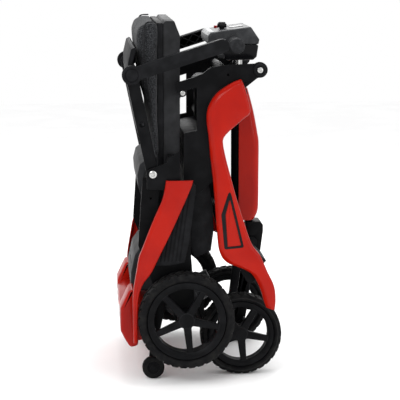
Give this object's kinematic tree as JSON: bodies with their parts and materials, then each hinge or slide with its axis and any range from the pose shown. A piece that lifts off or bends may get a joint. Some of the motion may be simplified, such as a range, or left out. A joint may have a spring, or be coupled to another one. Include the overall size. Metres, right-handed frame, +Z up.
{
  "type": "mobility scooter",
  "caption": "Folding four-wheel mobility scooter, folded upright on its front wheels and anti-tip casters, with hinged frame, seat, backrest, armrests and tiller.",
  "frame": {"origin": "on the floor under the middle of the folded scooter's box", "axes": "+Z up, +X to the front of the scooter, +Y to the rider's left"},
  "size_m": [0.36, 0.49, 0.789],
  "materials": {
    "frame_paint": "satin black powder coat",
    "red_cover": "painted ABS, satin gloss",
    "black_plastic": "fine moulded grain",
    "grey_plastic": "moulded, satin",
    "machined_alloy": "cast and machined",
    "steel_bolt": "zinc plated",
    "tyre_rubber": "solid tread rubber",
    "wheel_rim": "satin glass-filled nylon",
    "seat_fabric": "charcoal melange weave",
    "grip_rubber": "soft ribbed rubber",
    "horn_red": "glossy moulded"
  },
  "bodies": {
    "rear_frame": {"rear_plate_right": "frame_paint", "rear_plate_left": "frame_paint", "rear_cross_tubes": "frame_paint", "controller_box": "black_plastic", "drive_unit": "machined_alloy", "rear_axle": "steel_bolt", "rear_cover": "red_cover", "rear_fender_right": "red_cover", "rear_fender_left": "red_cover", "side_panel_right": "black_plastic", "side_panel_left": "black_plastic", "anti_tip_brackets": "frame_paint", "main_hinge_bolts": "steel_bolt", "seat_hinge_pins": "steel_bolt", "fold_actuator": "machined_alloy", "charge_port": "black_plastic"},
    "rear_wheel_right": {"rear_rim_right": "wheel_rim", "rear_tyre_right": "tyre_rubber"},
    "rear_wheel_left": {"rear_rim_left": "wheel_rim", "rear_tyre_left": "tyre_rubber"},
    "caster_right": {"caster_right": "tyre_rubber"},
    "caster_left": {"caster_left": "tyre_rubber"},
    "battery": {"battery": "grey_plastic"},
    "front_frame": {"front_rail_right": "frame_paint", "front_rail_left": "frame_paint", "front_cross_tubes": "frame_paint", "front_axle_beam": "frame_paint", "front_cover_right": "red_cover", "front_cover_left": "red_cover", "badge_frames": "black_plastic", "footplates": "black_plastic"},
    "knuckle_right": {"knuckle_right": "machined_alloy"},
    "knuckle_left": {"knuckle_left": "machined_alloy"},
    "front_wheel_right": {"front_rim_right": "wheel_rim", "front_tyre_right": "tyre_rubber"},
    "front_wheel_left": {"front_rim_left": "wheel_rim", "front_tyre_left": "tyre_rubber"},
    "seat": {"seat_pan": "grey_plastic", "seat_base": "black_plastic", "seat_cushion": "seat_fabric", "seat_brackets": "frame_paint", "seat_rear_cover": "grey_plastic", "backrest_bolts": "steel_bolt"},
    "backrest": {"backrest_posts": "frame_paint", "backrest_shell": "grey_plastic", "backrest_pad": "seat_fabric"},
    "armrest_right": {"armrest_right": "black_plastic"},
    "armrest_left": {"armrest_left": "black_plastic"},
    "tiller_base": {"tiller_base": "frame_paint"},
    "column": {"column_tube": "frame_paint", "column_cover": "red_cover"},
    "handlebar": {"stem": "steel_bolt", "console": "black_plastic", "console_lid": "grey_plastic", "grips": "grip_rubber"},
    "speed_dial": {"speed_dial": "black_plastic"},
    "key": {"key": "black_plastic"},
    "horn_button": {"horn_button": "horn_red"},
    "lever_right": {"lever_right": "grey_plastic"},
    "lever_left": {"lever_left": "grey_plastic"}
  },
  "joints": [
    {"name": "frame_fold", "type": "hinge", "parent": "rear_frame", "child": "front_frame", "pos_m": [0.129, 0, 0.682], "axis": [0, -1, 0], "range_deg": [0, 72]},
    {"name": "seat_fold", "type": "hinge", "parent": "rear_frame", "child": "seat", "pos_m": [-0.038, 0, 0.633], "axis": [0, 1, 0], "range_deg": [0, 64]},
    {"name": "tiller_fold", "type": "hinge", "parent": "front_frame", "child": "tiller_base", "pos_m": [0.128, 0, 0.275], "axis": [0, 1, 0], "range_deg": [0, 41]},
    {"name": "backrest_fold", "type": "hinge", "parent": "seat", "child": "backrest", "pos_m": [-0.105, 0, 0.463], "axis": [0, -1, 0], "range_deg": [0, 88]},
    {"name": "armrest_right_lift", "type": "hinge", "parent": "backrest", "child": "armrest_right", "pos_m": [-0.149, -0.23, 0.676], "axis": [0, -1, 0], "range_deg": [0, 95]},
    {"name": "armrest_left_lift", "type": "hinge", "parent": "backrest", "child": "armrest_left", "pos_m": [-0.149, 0.23, 0.676], "axis": [0, -1, 0], "range_deg": [0, 95]},
    {"name": "steer", "type": "hinge", "parent": "tiller_base", "child": "column", "pos_m": [0.098, 0, 0.299], "axis": [0, 0, 1], "range_deg": [-30, 30]},
    {"name": "tiller_extend", "type": "slide", "parent": "column", "child": "handlebar", "axis": [0, 0, 1], "range_m": [0, 0.2]},
    {"name": "kingpin_right", "type": "hinge", "parent": "front_frame", "child": "knuckle_right", "pos_m": [0.093, -0.103, 0.091], "axis": [0.7193, 0, 0.6947], "range_deg": [-15, 15]},
    {"name": "kingpin_left", "type": "hinge", "parent": "front_frame", "child": "knuckle_left", "pos_m": [0.093, 0.103, 0.091], "axis": [0.7193, 0, 0.6947], "range_deg": [-15, 15]},
    {"name": "front_wheel_right_spin", "type": "hinge", "parent": "knuckle_right", "child": "front_wheel_right", "pos_m": [0.093, -0.146, 0.091], "axis": [0, 1, 0], "continuous": true},
    {"name": "front_wheel_left_spin", "type": "hinge", "parent": "knuckle_left", "child": "front_wheel_left", "pos_m": [0.093, 0.146, 0.091], "axis": [0, 1, 0], "continuous": true},
    {"name": "rear_wheel_right_spin", "type": "hinge", "parent": "rear_frame", "child": "rear_wheel_right", "pos_m": [-0.033, -0.22, 0.141], "axis": [0, 1, 0], "continuous": true},
    {"name": "rear_wheel_left_spin", "type": "hinge", "parent": "rear_frame", "child": "rear_wheel_left", "pos_m": [-0.033, 0.22, 0.141], "axis": [0, 1, 0], "continuous": true},
    {"name": "caster_right_spin", "type": "hinge", "parent": "rear_frame", "child": "caster_right", "pos_m": [-0.104, -0.179, 0.0245], "axis": [0, 1, 0], "continuous": true},
    {"name": "caster_left_spin", "type": "hinge", "parent": "rear_frame", "child": "caster_left", "pos_m": [-0.104, 0.179, 0.0245], "axis": [0, 1, 0], "continuous": true},
    {"name": "battery_slide", "type": "slide", "parent": "rear_frame", "child": "battery", "axis": [-1, 0, 0], "range_m": [0, 0.15]},
    {"name": "speed_dial_turn", "type": "hinge", "parent": "handlebar", "child": "speed_dial", "pos_m": [0.06, -0.03, 0.77], "axis": [0, 0, 1], "range_deg": [-135, 135]},
    {"name": "key_turn", "type": "hinge", "parent": "handlebar", "child": "key", "pos_m": [0.064, 0.02, 0.766], "axis": [0, 0, 1], "range_deg": [0, 90]},
    {"name": "horn_press", "type": "slide", "parent": "handlebar", "child": "horn_button", "axis": [0, 0, -1], "range_m": [0, 0.003], "stiffness_N_per_m": 500},
    {"name": "lever_right_pull", "type": "hinge", "parent": "handlebar", "child": "lever_right", "pos_m": [0.05, -0.104, 0.709], "axis": [0, 0, 1], "range_deg": [0, 20], "stiffness_Nm_per_rad": 0.6},
    {"name": "lever_left_pull", "type": "hinge", "parent": "handlebar", "child": "lever_left", "pos_m": [0.05, 0.104, 0.709], "axis": [0, 0, -1], "range_deg": [0, 20], "stiffness_Nm_per_rad": 0.6}
  ],
  "couplings": [
    {"joint": "seat_fold", "follows": "frame_fold", "ratio": 0.88889},
    {"joint": "tiller_fold", "follows": "frame_fold", "ratio": 0.56944},
    {"joint": "kingpin_right", "follows": "steer", "ratio": 0.5},
    {"joint": "kingpin_left", "follows": "steer", "ratio": 0.5}
  ]
}
